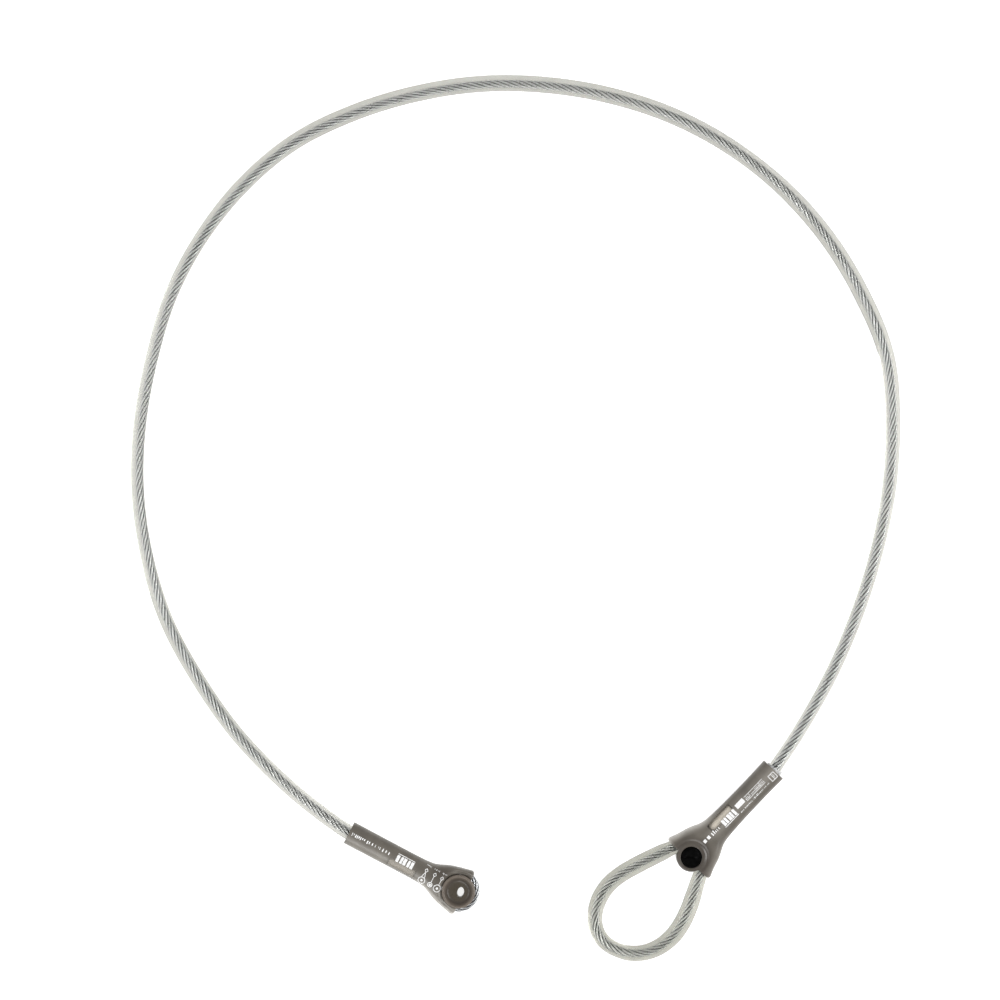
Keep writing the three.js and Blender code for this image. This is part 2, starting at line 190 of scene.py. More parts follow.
class Path:
    """A smooth line through given points, measured along its length."""

    def __init__(self, points, steps=60):
        self.points = catmull_rom(points, steps)
        gaps = np.linalg.norm(np.diff(self.points, axis=0), axis=1)
        self.distances = np.concatenate([[0], np.cumsum(gaps)])
        self.length = float(self.distances[-1])

    def at(self, distances):
        return np.stack([np.interp(distances, self.distances, axis) for axis in self.points.T], axis=1)

    def frames(self, distances):
        """Points, and at each the direction along the line, to its left and upward."""
        reach = 0.0008
        ahead = self.at(np.minimum(distances + reach, self.length))
        behind = self.at(np.maximum(distances - reach, 0))
        along = unit(ahead - behind)
        left = unit(np.cross(UP, along))
        return self.at(distances), along, left, np.cross(along, left)


def unit(vectors):
    return vectors / np.linalg.norm(vectors, axis=-1, keepdims=True)


def evenly(start, end, step):
    return np.linspace(start, end, max(2, round((end - start) / step) + 1))


def table_at(table, places):
    """Values between a table's rows, eased from one row to the next."""
    rows = np.array(table)
    index = np.clip(np.searchsorted(rows[:, 0], places) - 1, 0, len(rows) - 2)
    low, high = rows[index], rows[index + 1]
    share = np.clip((places - low[:, 0]) / (high[:, 0] - low[:, 0]), 0, 1)
    share = share * share * (3 - 2 * share)
    return low[:, 1] + share * (high[:, 1] - low[:, 1])


def ease(value, low, high):
    share = np.clip((value - low) / (high - low), 0, 1)
    return share * share * (3 - 2 * share)


# Meshes


class Builder:
    """Gathers rings of points into one mesh, with a map of (turn, distance) on it."""

    def __init__(self):
        self.points = []
        self.faces = []
        self.map = []

    def tube(self, rings, distances=None, caps=(False, False), inward=False):
        """Adds a skin over rings of points (ring, side, xyz)."""
        ring_count, sides = rings.shape[:2]
        first = len(self.points)
        if distances is None:
            distances = np.arange(ring_count) * 0.001
        self.points.extend(rings.reshape(-1, 3).tolist())
        for ring in range(ring_count - 1):
            low, high = float(distances[ring]), float(distances[ring + 1])
            for side in range(sides):
                here = first + ring * sides + side
                beside = first + ring * sides + (side + 1) % sides
                face = [here, beside, beside + sides, here + sides]
                turn, next_turn = side / sides, (side + 1) / sides
                marks = [(turn, low), (next_turn, low), (next_turn, high), (turn, high)]
                self.add(face, marks, inward)
        last = first + (ring_count - 1) * sides
        if caps[0]:
            self.add([first + side for side in reversed(range(sides))], [(0, 0)] * sides, inward)
        if caps[1]:
            self.add([last + side for side in range(sides)], [(0, 0)] * sides, inward)
        return first, last

    def add(self, face, marks, inward=False):
        if inward:
            face, marks = face[::-1], marks[::-1]
        self.faces.append(face)
        self.map.extend(marks)

    def bridge(self, outer_first, outer_sides, inner_first, inner_sides, flip=False):
        """Closes the end between an outer and an inner ring with triangles."""
        outer = inner = 0
        while outer < outer_sides or inner < inner_sides:
            outer_here = outer_first + outer % outer_sides
            inner_here = inner_first + inner % inner_sides
            if inner * outer_sides >= outer * inner_sides and outer < outer_sides:
                face = [outer_here, outer_first + (outer + 1) % outer_sides, inner_here]
                outer += 1
            else:
                face = [outer_here, inner_first + (inner + 1) % inner_sides, inner_here]
                inner += 1
            self.add(face, [(0, 0)] * 3, flip)

    def finish(self, name):
        mesh = bpy.data.meshes.new(name)
        mesh.from_pydata(self.points, [], self.faces)
        layer = mesh.uv_layers.new(name="lay")
        layer.data.foreach_set("uv", np.array(self.map, np.float32).ravel())
        mesh.polygons.foreach_set("use_smooth", [True] * len(mesh.polygons))
        mesh.update()
        return link(name, mesh)


def link(name, mesh):
    thing = bpy.data.objects.new(name, mesh)
    bpy.context.scene.collection.objects.link(thing)
    return thing


def circle(sides):
    angles = (np.arange(sides) / sides) * 2 * math.pi
    return np.cos(angles), np.sin(angles)


def rings_round(points, left, up, sides, half_width, half_height=None):
    """Rings round the points of a line, half_width to each side and half_height up and down."""
    if half_height is None:
        half_height = half_width
    cosines, sines = circle(sides)
    sideways = half_width * cosines[None, :, None] * left[:, None]
    upward = half_height * sines[None, :, None] * up[:, None]
    return points[:, None] + sideways + upward


def solid(rings, caps=(True, True)):
    builder = Builder()
    builder.tube(np.array(rings, float), caps=caps)
    return builder.finish("solid")


def oval_rings(rows, sides):
    """Rings across the first axis from rows of distance, half width, half height and squareness."""
    cosines, sines = circle(sides)
    rings = []
    for along, half_width, half_height, squareness in rows:
        power = 2 / squareness
        across = half_width * np.sign(cosines) * np.abs(cosines) ** power
        height = half_height * np.sign(sines) * np.abs(sines) ** power
        rings.append(np.stack([np.full(sides, along), across, height], axis=1))
    return rings


def turned_rings(profile, sides):
    """Rings round the vertical from (radius, height) points, from the bottom to the top."""
    cosines, sines = circle(sides)
    return [
        np.stack([radius * cosines, radius * sines, np.full(sides, height)], axis=1)
        for radius, height in profile
    ]


def swept(points, radius, sides):
    """A round bar along a line through local points (along, across)."""
    path = Path([(along, across, 0.0) for along, across in points], 12)
    middles, _, left, up = path.frames(evenly(0, path.length, 0.0015))
    return solid(rings_round(middles, left, up, sides, radius))


def combine(thing, tool, operation):
    step = thing.modifiers.new(operation, "BOOLEAN")
    step.operation = operation
    step.solver = "MANIFOLD"
    step.object = tool
    settle(thing)
    bpy.data.objects.remove(tool)


def settle(thing):
    """Applies a piece's modifiers."""
    whole = bpy.context.evaluated_depsgraph_get()
    whole.update()
    mesh = bpy.data.meshes.new_from_object(thing.evaluated_get(whole))
    thing.modifiers.clear()
    thing.data = mesh


def soften(thing, grain, passes):
    """Remeshes a piece evenly and rounds its edges."""
    remesh = thing.modifiers.new("even", "REMESH")
    remesh.mode = "VOXEL"
    remesh.voxel_size = grain
    remesh.use_smooth_shade = True
    smooth = thing.modifiers.new("round", "SMOOTH")
    smooth.factor = 0.5
    smooth.iterations = passes
    settle(thing)


def points_of(mesh):
    places = np.empty(len(mesh.vertices) * 3, np.float32)
    mesh.vertices.foreach_get("co", places)
    return places.reshape(-1, 3)


def place_piece(thing, name, fitting, made, slot, body, *nodes):
    """Moves a piece made at the origin to its fitting, names it and hands it to the frame."""
    thing.name = name
    thing.data.name = name
    if fitting:
        thing.data.transform(fitting.matrix)
    thing.data.materials.clear()
    thing.data.materials.append(made)
    thing.data.polygons.foreach_set("use_smooth", [True] * len(thing.data.polygons))
    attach(thing, body)
    if nodes:
        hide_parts(*nodes)
    return thing


# The camera, straight above as the object lies
camera_data = bpy.data.cameras.new("camera")
camera_data.lens = 100
camera_data.sensor_width = 36
camera_data.clip_end = 50
camera = bpy.data.objects.new("camera", camera_data)
bpy.context.scene.collection.objects.link(camera)
VIEW_WIDTH = 0.842
VIEW_OFFSET = Vector((-0.0127, 0.0155))
middle = (cad_low + cad_high) / 2
view_height = VIEW_WIDTH * camera_data.lens / camera_data.sensor_width
camera.location = (middle.x + VIEW_OFFSET.x, middle.y + VIEW_OFFSET.y, view_height + 0.008)
bpy.context.scene.camera = camera


# Materials


def new_material(name, **sockets):
    """A Principled material with constant values on its sockets; gives back its shader too."""
    made = bpy.data.materials.new(name)
    made.use_nodes = True
    shader = made.node_tree.nodes["Principled BSDF"]
    for socket, value in sockets.items():
        shader.inputs[socket.replace("_", " ")].default_value = value
    return made, shader


def add_node(made, kind, **values):
    node = made.node_tree.nodes.new(kind)
    for name, value in values.items():
        if name in node.inputs:
            node.inputs[name].default_value = value
        else:
            setattr(node, name, value)
    return node


def wire(made, start, end):
    made.node_tree.links.new(start, end)


def ramp(made, factor, stops):
    """A colour ramp from (place, colour) stops."""
    node = add_node(made, "ShaderNodeValToRGB")
    elements = node.color_ramp.elements
    while len(elements) < len(stops):
        elements.new(0.5)
    for element, (place, colour) in zip(elements, stops):
        element.position = place
        element.color = (*colour, 1)
    wire(made, factor, node.inputs["Fac"])
    return node.outputs["Color"]


def grey(value):
    return (value, value, value)


def noise(made, scale, detail=3.0, coordinate="Object", stretch=None):
    place = add_node(made, "ShaderNodeTexCoord").outputs[coordinate]
    if stretch:
        mapping = add_node(made, "ShaderNodeMapping")
        mapping.inputs["Scale"].default_value = stretch
        wire(made, place, mapping.inputs["Vector"])
        place = mapping.outputs["Vector"]
    node = add_node(made, "ShaderNodeTexNoise", Scale=scale, Detail=detail)
    wire(made, place, node.inputs["Vector"])
    return node.outputs["Fac"]


def bump(made, shader, height, distance):
    node = add_node(made, "ShaderNodeBump", Distance=distance)
    wire(made, height, node.inputs["Height"])
    wire(made, node.outputs["Normal"], shader.inputs["Normal"])


def roughen(made, shader, scale, low, high):
    """Roughness that wanders between two values, in patches set by the scale."""
    gloss = ramp(made, noise(made, scale), [(0.3, grey(low)), (0.7, grey(high))])
    wire(made, gloss, shader.inputs["Roughness"])


def maths(made, operation, first, second=None):
    node = add_node(made, "ShaderNodeMath", operation=operation)
    wire(made, first, node.inputs[0])
    if isinstance(second, (int, float)):
        node.inputs[1].default_value = second
    elif second is not None:
        wire(made, second, node.inputs[1])
    return node.outputs[0]


def multiply(made, first, second):
    node = add_node(made, "ShaderNodeMix", data_type="RGBA", blend_type="MULTIPLY")
    node.inputs["Factor"].default_value = 1
    wire(made, first, node.inputs["A"])
    wire(made, second, node.inputs["B"])
    return node.outputs["Result"]


def lay_map(made):
    """The turn round a strand or tube, and the distance along it."""
    coordinate = add_node(made, "ShaderNodeUVMap", uv_map="lay").outputs["UV"]
    split = add_node(made, "ShaderNodeSeparateXYZ")
    wire(made, coordinate, split.inputs["Vector"])
    return split.outputs["X"], split.outputs["Y"]


def sheath_material(name, deep, pale):
    """Clear soft plastic with a faint tint, from deep to pale, slightly wavy along its length."""
    made, shader = new_material(name, IOR=1.24, Transmission_Weight=0.97)
    cloud = noise(made, 1.0, coordinate="UV", stretch=(4, 40, 1))
    tint = ramp(made, cloud, [(0.3, deep), (0.7, pale)])
    glance = add_node(made, "ShaderNodeLayerWeight", Blend=0.5).outputs["Facing"]
    edge_tints = [(0.45, grey(1.0)), (0.8, (0.74, 0.735, 0.67)), (1.0, (0.52, 0.515, 0.42))]
    edge = ramp(made, glance, edge_tints)
    wire(made, multiply(made, tint, edge), shader.inputs["Base Color"])
    roughen(made, shader, 700, 0.02, 0.06)
    bump(made, shader, noise(made, 1.0, detail=1.0, coordinate="UV", stretch=(4, 90, 1)), 0.00003)
    return made


def bore_material():
    """The bore's wall, which grips the rope so closely that only a faint haze shows."""
    made, shader = new_material("sheath_bore", Roughness=0.3, Specular_IOR_Level=0.0)
    wire(made, ramp(made, noise(made, 500), [(0.3, grey(0.55)), (0.7, grey(0.7))]),
         shader.inputs["Base Color"])
    wire(made, ramp(made, noise(made, 300), [(0.35, grey(0.0)), (0.75, grey(0.05))]),
         shader.inputs["Alpha"])
    return made


def steel_material(name, brightness):
    """Drawn wires, with painted shade: each strand is dark on its sides and underside, where it lies against
    its neighbours and the core, and bright on its crown, and each wire is darker in the grooves beside it.
    """
    made, shader = new_material(name, Metallic=1.0)
    turn, distance = lay_map(made)
    wires_per_strand, wire_lay = 12, 0.016
    place = maths(made, "ADD", turn, maths(made, "MULTIPLY", distance, 1 / wire_lay))
    phase = maths(made, "MULTIPLY", place, math.pi * wires_per_strand)
    crown = maths(made, "ABSOLUTE", maths(made, "SINE", phase))
    bump(made, shader, crown, 0.00007)
    # Painted shade: each strand's colour darkens away from its crown, towards where it lies against its
    # neighbours.
    away = maths(made, "MULTIPLY", maths(made, "ABSOLUTE", maths(made, "SUBTRACT", turn, 0.5)), 2)
    painted_strand_shade = ramp(made, away, [(0.52, grey(0.2)), (0.64, grey(0.5)), (0.78, grey(1.0))])
    # Painted shade in the grooves between wires.
    wire_tints = [
        (0.0, grey(0.4 * brightness)),
        (0.35, (0.76 * brightness, 0.78 * brightness, 0.80 * brightness)),
        (1.0, (0.90 * brightness, 0.92 * brightness, 0.94 * brightness)),
    ]
    painted_wire_shade = ramp(made, crown, wire_tints)
    wire(made, multiply(made, painted_strand_shade, painted_wire_shade), shader.inputs["Base Color"])
    roughen(made, shader, 700, 0.24, 0.4)
    return made


def cover_material():
    """Smoke-tinted plastic, its colour following each point's "shade", which holds painted light and shade as
    well as the plastic's own tone; the "opacity" on each point is lower where the ferrule shows through.
    """
    made, shader = new_material("smoky_cover", IOR=1.46)
    mottle = ramp(made, noise(made, 75, detail=5), [(0.3, grey(0.82)), (0.7, grey(1.14))])
    shade = add_node(made, "ShaderNodeAttribute", attribute_name="shade").outputs["Fac"]
    # Painted light: the paler stops stand for the lit side, lit rims and painted highlights as well as for
    # paler plastic.
    tints = [
        (0.0, (0.050, 0.042, 0.034)), (0.3, (0.092, 0.082, 0.068)), (0.6, (0.19, 0.177, 0.156)),
        (1.0, (0.36, 0.343, 0.315)),
    ]
    tint = ramp(made, shade, tints)
    wire(made, multiply(made, tint, mottle), shader.inputs["Base Color"])
    roughen(made, shader, 400, 0.3, 0.4)
    opacity = add_node(made, "ShaderNodeAttribute", attribute_name="opacity").outputs["Fac"]
    wire(made, opacity, shader.inputs["Alpha"])
    bump(made, shader, noise(made, 1300), 0.00002)
    return made


def bush_material():
    """The same smoke-tinted plastic, with painted shade: darker in the dish towards the hole and paler out at
    the rim.
    """
    made, shader = new_material("bush_plastic", IOR=1.46, Specular_IOR_Level=0.3)
    mottle = ramp(made, noise(made, 130, detail=5), [(0.3, grey(0.9)), (0.7, grey(1.08))])
    shade = add_node(made, "ShaderNodeAttribute", attribute_name="shade").outputs["Fac"]
    tints = [(0.0, (0.05, 0.041, 0.029)), (0.55, (0.055, 0.046, 0.038)), (1.0, (0.118, 0.098, 0.08))]
    tint = ramp(made, shade, tints)
    wire(made, multiply(made, tint, mottle), shader.inputs["Base Color"])
    roughen(made, shader, 400, 0.26, 0.38)
    bump(made, shader, noise(made, 1300), 0.00002)
    return made


def ferrule_material():
    """Pressed aluminium, dull and warm, with faint lengthwise press marks."""
    made, shader = new_material("ferrule", Metallic=0.12)
    tint = ramp(made, noise(made, 220), [(0.3, (0.80, 0.73, 0.62)), (0.7, (0.90, 0.83, 0.71))])
    wire(made, tint, shader.inputs["Base Color"])
    roughen(made, shader, 600, 0.42, 0.58)
    bump(made, shader, noise(made, 1500), 0.00006)
    return made


def plug_material():
    """Glossy black moulding, with a faint unevenness."""
    made, shader = new_material("black_plug", IOR=1.3, Specular_IOR_Level=0.03)
    tint = ramp(made, noise(made, 300), [(0.3, grey(0.001)), (0.7, grey(0.003))])
    wire(made, tint, shader.inputs["Base Color"])
    roughen(made, shader, 800, 0.16, 0.26)
    bump(made, shader, noise(made, 2200), 0.00001)
    return made


def collar_material():
    """Clear plastic gone cloudy where it was cut."""
    made, shader = new_material("cloudy_collar", Roughness=0.45, IOR=1.4)
    tint = ramp(made, noise(made, 500), [(0.3, grey(0.5)), (0.7, grey(0.75))])
    wire(made, tint, shader.inputs["Base Color"])
    cloud = ramp(made, noise(made, 900), [(0.3, grey(0.25)), (0.7, grey(0.8))])
    wire(made, cloud, shader.inputs["Alpha"])
    bump(made, shader, noise(made, 1500), 0.0001)
    return made


def print_material():
    """White ink, slightly worn."""
    made, shader = new_material("white_print", Roughness=0.55)
    wire(made, ramp(made, noise(made, 900, detail=4), [(0.35, grey(0.58)), (0.6, grey(0.84))]),
         shader.inputs["Base Color"])
    return made


CLEAR_SHEATH = sheath_material("clear_sheath", (0.540, 0.536, 0.502), (0.590, 0.586, 0.552))
LOOP_SHEATH = sheath_material("clear_loop_sheath", (0.465, 0.463, 0.415), (0.515, 0.512, 0.465))
SHEATH_BORE = bore_material()
STEEL = steel_material("steel_wire", 0.97)
# A darker copy of the same steel for the strands in and round the fittings: painted shade.
SHADED_STEEL = steel_material("shaded_steel_wire", 0.6)
SMOKY_COVER = cover_material()
BUSH_PLASTIC = bush_material()
FERRULE_METAL = ferrule_material()
BLACK_PLUG = plug_material()
COLLAR_PLASTIC = collar_material()
WHITE_PRINT = print_material()


# The cable and the loop: a clear sheath round the strands of a rope


def no_shift(distances):
    return np.zeros(len(distances))


def cable_shift(distances):
    return -table_at(CABLE_SHIFTS, distances)


def rope(name, path, start, end, turn=0.0, caps=(False, False), shift=no_shift, steel=STEEL):
    """Six strands laid round a seventh, from start to end along a path; turn sets where the lay starts."""
    distances = evenly(start, end, STRAND_STEP)
    points, along, left, up = path.frames(distances)
    points = points + shift(distances)[:, None] * left
    builder = Builder()
    builder.tube(rings_round(points, left, up, STRAND_SIDES, STRAND_RADIUS), distances, caps)
    for strand in range(STRANDS):
        angles = turn + 2 * math.pi * (distances / LAY + strand / STRANDS)
        outward = np.cos(angles)[:, None] * left + np.sin(angles)[:, None] * up
        around = -np.sin(angles)[:, None] * left + np.cos(angles)[:, None] * up
        forward = unit(along + around * (2 * math.pi * STRAND_OFFSET / LAY))
        middles = points + STRAND_OFFSET * outward
        beside = np.cross(forward, outward)
        rings = rings_round(middles, outward, beside, STRAND_SIDES, STRAND_RADIUS)
        builder.tube(rings, distances, caps)
    piece = builder.finish(name)
    piece.data.materials.append(steel)
    return piece


def sheath(name, path, start, end, widths, clear, caps=(False, False), shift=no_shift):
    """A clear tube with a bore, from start to end along a path. Gives back the piece and its ring middles."""
    distances = evenly(start, end, SHEATH_STEP)
    points, _, left, up = path.frames(distances)
    half_widths = table_at(widths, distances)[:, None, None]
    builder = Builder()
    outer = rings_round(points, left, up, SHEATH_SIDES, half_widths, SHEATH_RADIUS)
    outer_first, outer_last = builder.tube(outer, distances)
    outer_faces = len(builder.faces)
    bore_points = points + shift(distances)[:, None] * left
    inner = rings_round(bore_points, left, up, BORE_SIDES, SHEATH_BORE_RADIUS)
    inner_first, inner_last = builder.tube(inner, distances, inward=True)
    all_faces = len(builder.faces)
    if caps[0]:
        builder.bridge(outer_first, SHEATH_SIDES, inner_first, BORE_SIDES, flip=True)
    if caps[1]:
        builder.bridge(outer_last, SHEATH_SIDES, inner_last, BORE_SIDES)
    piece = builder.finish(name)
    piece.data.materials.append(clear)
    piece.data.materials.append(SHEATH_BORE)
    for face in range(outer_faces, all_faces):
        piece.data.polygons[face].material_index = 1
    return piece, [tuple(point) for point in points]


cable_path = Path([
    *(EYE.at(*place) for place in EYE_TAIL_ROUTE),
    *CABLE_ROUTE,
    *(HEAD.at(*place) for place in HEAD_TAIL_ROUTE),
])
loop_path = Path([HEAD.at(*place) for place in LOOP_ROUTE])

END_BEND_REACH = 0.06
MIDDLE_BEND_REACH = 0.138
EYE_MOUTH_DISTANCE = 0.0289
HEAD_MOUTH_DISTANCE = 0.0356
eye_mouth = EYE.at(EYE_MOUTH, 0)
loop_mouth = HEAD.at(HEAD_MOUTH, 0)
eye_bend_end, loop_bend_start = (
    tuple(point) for point in cable_path.at(np.array([
        EYE_MOUTH_DISTANCE + END_BEND_REACH, cable_path.length - HEAD_MOUTH_DISTANCE - END_BEND_REACH,
    ]))
)
middle_pivot = cable_path.at(np.array([(MIDDLE_START + MIDDLE_END) / 2]))[0]
middle_bend = [tuple(middle_pivot + np.array([side * MIDDLE_BEND_REACH, 0, 0])) for side in (-1, 1)]

CABLE_PIECES = [
    ("eye_side", 0.0, MIDDLE_START, "eye_end", "cable_eye_half", eye_mouth, eye_bend_end, (True, False)),
    ("middle", MIDDLE_START, MIDDLE_END, "cable_eye_half", "cable_loop_half", *middle_bend, (False, False)),
    ("loop_side", MIDDLE_END, cable_path.length, "cable_loop_half", "loop_end", loop_bend_start, loop_mouth,
     (False, True)),
]
for part, start, end, before, after, bend_start, bend_end, caps in CABLE_PIECES:
    tube, tube_path = sheath(
        "cable_sheath_" + part, cable_path, start, end, CABLE_WIDTHS, CLEAR_SHEATH, caps, cable_shift
    )
    strands = rope("cable_rope_" + part, cable_path, start, end, caps=caps, shift=cable_shift)
    for piece, node in [(tube, "sheath_" + part), (strands, "rope_" + part)]:
        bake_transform(piece)
        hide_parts(node)

tube, tube_path = sheath(
    "loop_tube", loop_path, 0.0, loop_path.length, LOOP_WIDTHS, LOOP_SHEATH, (True, True)
)
strands = rope("loop_strands", loop_path, 0.0, loop_path.length, caps=(True, True))
for piece, node in [(tube, "loop_sheath"), (strands, "loop_rope")]:
    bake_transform(piece)
    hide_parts(node)


# The fittings. Their sizes are in millimetres, along and across each fitting from its head's middle

COVER_SIDES = 96
COVER_GRAIN = 0.00042
EYE_HALF_HEIGHT = 8.0
HEAD_HALF_HEIGHT = 8.5
ROPE_OFFSET = 3.45
FERRULE_LENGTH = 25.4
EYE_FERRULE_START = 38.9
HEAD_FERRULE_START = 27.9
BUSH_SEAT_RADIUS = 14.35
# How pale each cover's plastic is in places, much of it painted light (a paler lit side, paler lit rims,
# painted highlights round the bush and along the tail's middle), and how clear it is over its ferrule
EYE_COVER_SHADES = {
    "head": 0.08, "centre": 0.0, "tail": 0.28, "rim": 0.28, "ring": 0.22, "side": 0.28, "middle": 0.06,
    "window": 0.46, "edge": 0.5,
}
HEAD_COVER_SHADES = {
    "head": 0.25, "centre": -0.25, "tail": 0.24, "rim": 0.25, "ring": 0.0, "side": 0.06, "middle": 0.28,
    "window": 0.90, "edge": 1.0,
}
PLUG_SEAT_RADIUS = 9.0
PLUG_BARREL_SEAT_RADIUS = 4.9
LEG_CHANNEL_RADIUS = 6.4
BEYOND = 20.0
# The collar, whose start and end are counted back from the cable's end, in metres
COLLAR_START = 0.0374
COLLAR_END = 0.024
COLLAR_RADIUS = 7.3
COLLAR_BORE_RADIUS = 6.75

# The covers' half widths seen from above
EYE_COVER_WIDTHS = [
    (-5.3, 18.4), (-4.6, 19.6), (-3.0, 20.3), (-0.4, 19.8), (3.8, 18.8), (9, 17.6), (13.2, 16.5),
    (17.4, 15.0), (21.6, 13.1), (24.6, 11.8), (28, 10.7), (34, 10.0), (42, 9.75), (70, 9.7), (104.3, 9.8),
]
HEAD_COVER_WIDTHS = [
    (-3.6, 22.0), (-2.9, 23.2), (-1.3, 23.8), (1.6, 22.7), (5.8, 21.0), (11, 19.4), (15.2, 18.1),
    (19.4, 16.3), (23.6, 14.2), (27, 12.9), (31, 12.1), (38, 11.5), (50, 11.0), (62, 10.8), (74, 10.7),
    (88, 10.8), (101.0, 11.1),
]
# The hollows inside the covers: distance along, half width, half height and squareness
EYE_TUNNEL = [(34.9, 8.65, 6.35, 2.3), (66, 8.65, 6.35, 2.3), (72, 8.75, 6.8, 3), (110, 8.75, 6.8, 3)]
EYE_SLOT = [
    (-20, 16.5, 3.3, 5), (-5.3, 16.5, 3.3, 5), (-3.0, 18.4, 3.3, 5), (3.8, 16.9, 3.3, 5),
    (13.2, 14.6, 3.3, 5), (21.6, 11.2, 3.3, 5), (28, 8.8, 3.3, 5), (36.9, 8.0, 3.3, 5),
]
HEAD_TUNNEL = [
    (20, 8.65, 6.8, 2.3), (54, 8.65, 6.8, 2.3), (62, 8.8, 6.9, 2.4), (72, 9.2, 7.2, 2.65),
    (88, 9.65, 7.5, 2.9), (106, 9.65, 7.5, 2.9),
]
TONGUE = [(0.05, -8.5), (11.2, -8.5), (12.4, -6.9), (12.4, 6.9), (11.2, 8.5), (0.05, 8.5)]

# The rope inside the covers
EYE_TURN_RADIUS = 15.2
EYE_TURN_ANGLES = (-72, -288)
EYE_LIVE_ROPE = [(75, -2.3), (64.4, -3.45), (51, -3.45), (38.9, -3.45), (32, -4.4), (24, -7.2)]
EYE_DEAD_ROPE = [(24, 7.2), (32, 4.4), (38.9, 3.45), (51, 3.45), (68.5, 3.45)]
HEAD_LIVE_ROPE = [(65, -2.2), (53.3, -3.45), (40, -3.45), (27.9, -3.45), (21, -5.9), (15.3, -8.3)]
HEAD_DEAD_ROPE = [(57.5, 3.45), (53.3, 3.45), (40, 3.45), (27.9, 3.45), (21, 5.9), (15.3, 8.3)]
LEG_CHANNEL = [(24, 5.2), (15, 8.4), (5, 12.2), (-4, 15.5), (-13, 19), (-22, 22.3)]

# The bush's upper side, from its waist over the rim and the dish to its hole: how round, radius, height
BUSH_UPPER = [
    (1, 12.1, 0), (1, 12.1, 2.4), (1, 12.5, 3.0), (1, 13.7, 3.4), (1, 14.2, 4.0), (1, 14.2, 7.2),
    (1, 13.9, 7.95), (1, 13.3, 8.35), (1, 12.6, 8.4), (1, 12.0, 8.1), (1, 11.2, 7.2), (1, 10.3, 6.0),
    (1, 9.4, 5.05), (1, 8.5, 4.6), (0.8, 8.5, 4.45), (0.5, 8.5, 4.35), (0.25, 8.5, 4.3), (0.1, 8.5, 4.2),
    (0.02, 8.5, 3.95), (0, 8.5, 3.5), (0, 8.5, 1.5),
]
BUSH_HOLE = {"along": -2.1, "half_along": 2.8, "half_across": 4.3, "lean": 17}
PLUG_CAP = [
    (0.05, -5.1), (2.4, -5.1), (2.6, -4.9), (2.6, 6.7), (8.4, 6.7), (8.6, 6.8), (8.7, 7.0), (8.7, 8.1),
    (8.62, 8.5), (8.4, 8.82), (8.05, 9.02), (7.7, 9.08), (7.4, 9.0), (7.2, 8.8), (7.05, 8.66), (6.85, 8.66),
    (6.7, 8.8), (6.5, 9.0), (6.2, 9.1), (0.05, 9.1),
]
PLUG_BASE = [
    (0.05, -8.3), (7.9, -8.3), (8.4, -8.15), (8.65, -7.8), (8.7, -7.4), (8.7, -6.9), (8.5, -6.7), (4.6, -6.7),
    (4.6, 6.0), (4.4, 6.2), (3.1, 6.2), (2.9, 6.0), (2.9, -5.5), (0.05, -5.5),
]
PLUG_TOP = 9.1
PLUG_SLOT_WIDTH = 1.5
PLUG_SLOT_DEPTH = 1.0


def in_metres(rows):
    """Rows of millimetres, whose fourth column, if there is one, is a squareness."""
    return [tuple(value * MM for value in row[:3]) + tuple(row[3:]) for row in rows]


def cover_skin(widths, half_height):
    """The outside of a cover: flat-topped at the head and nearly elliptical at the tail."""
    rows = []
    for along, half_width, _ in catmull_rom([(along, width, 0) for along, width in widths], 5):
        rows.append((along, half_width, half_height, 3.4 - 1.1 * float(ease(along, 8, 36))))
    return solid(oval_rings(in_metres(rows), COVER_SIDES))


def hollow(rows):
    return solid(oval_rings(in_metres(rows), 64))


def turned(profile, sides=96):
    return solid(turned_rings(in_metres(profile), sides))


def bore(radius, low=-BEYOND, high=BEYOND):
    return turned([(0.05, low), (radius, low), (radius, high), (0.05, high)])


def press(thing, centre_radius, depth, spread, widths, rim_depth):
    """Presses a shallow ring round the head's middle and a crease along its rims into both faces."""
    places = points_of(thing.data) / MM
    along, across, height = places.T
    face = ease(np.abs(height), 4.0, 7.0)
    ring = depth * np.exp(-(((np.hypot(along, across) - centre_radius) / spread) ** 2))
    rows = np.array(widths)
    inset = np.interp(along, rows[:, 0], rows[:, 1]) - np.abs(across)
    crease = rim_depth * np.exp(-(((inset - 3.4) / 1.1) ** 2)) * (1 - ease(along, 10, 24))
    places[:, 2] -= np.sign(height) * face * (ring + crease)
    thing.data.vertices.foreach_set("co", (places * MM).astype(np.float32).ravel())
    thing.data.update()


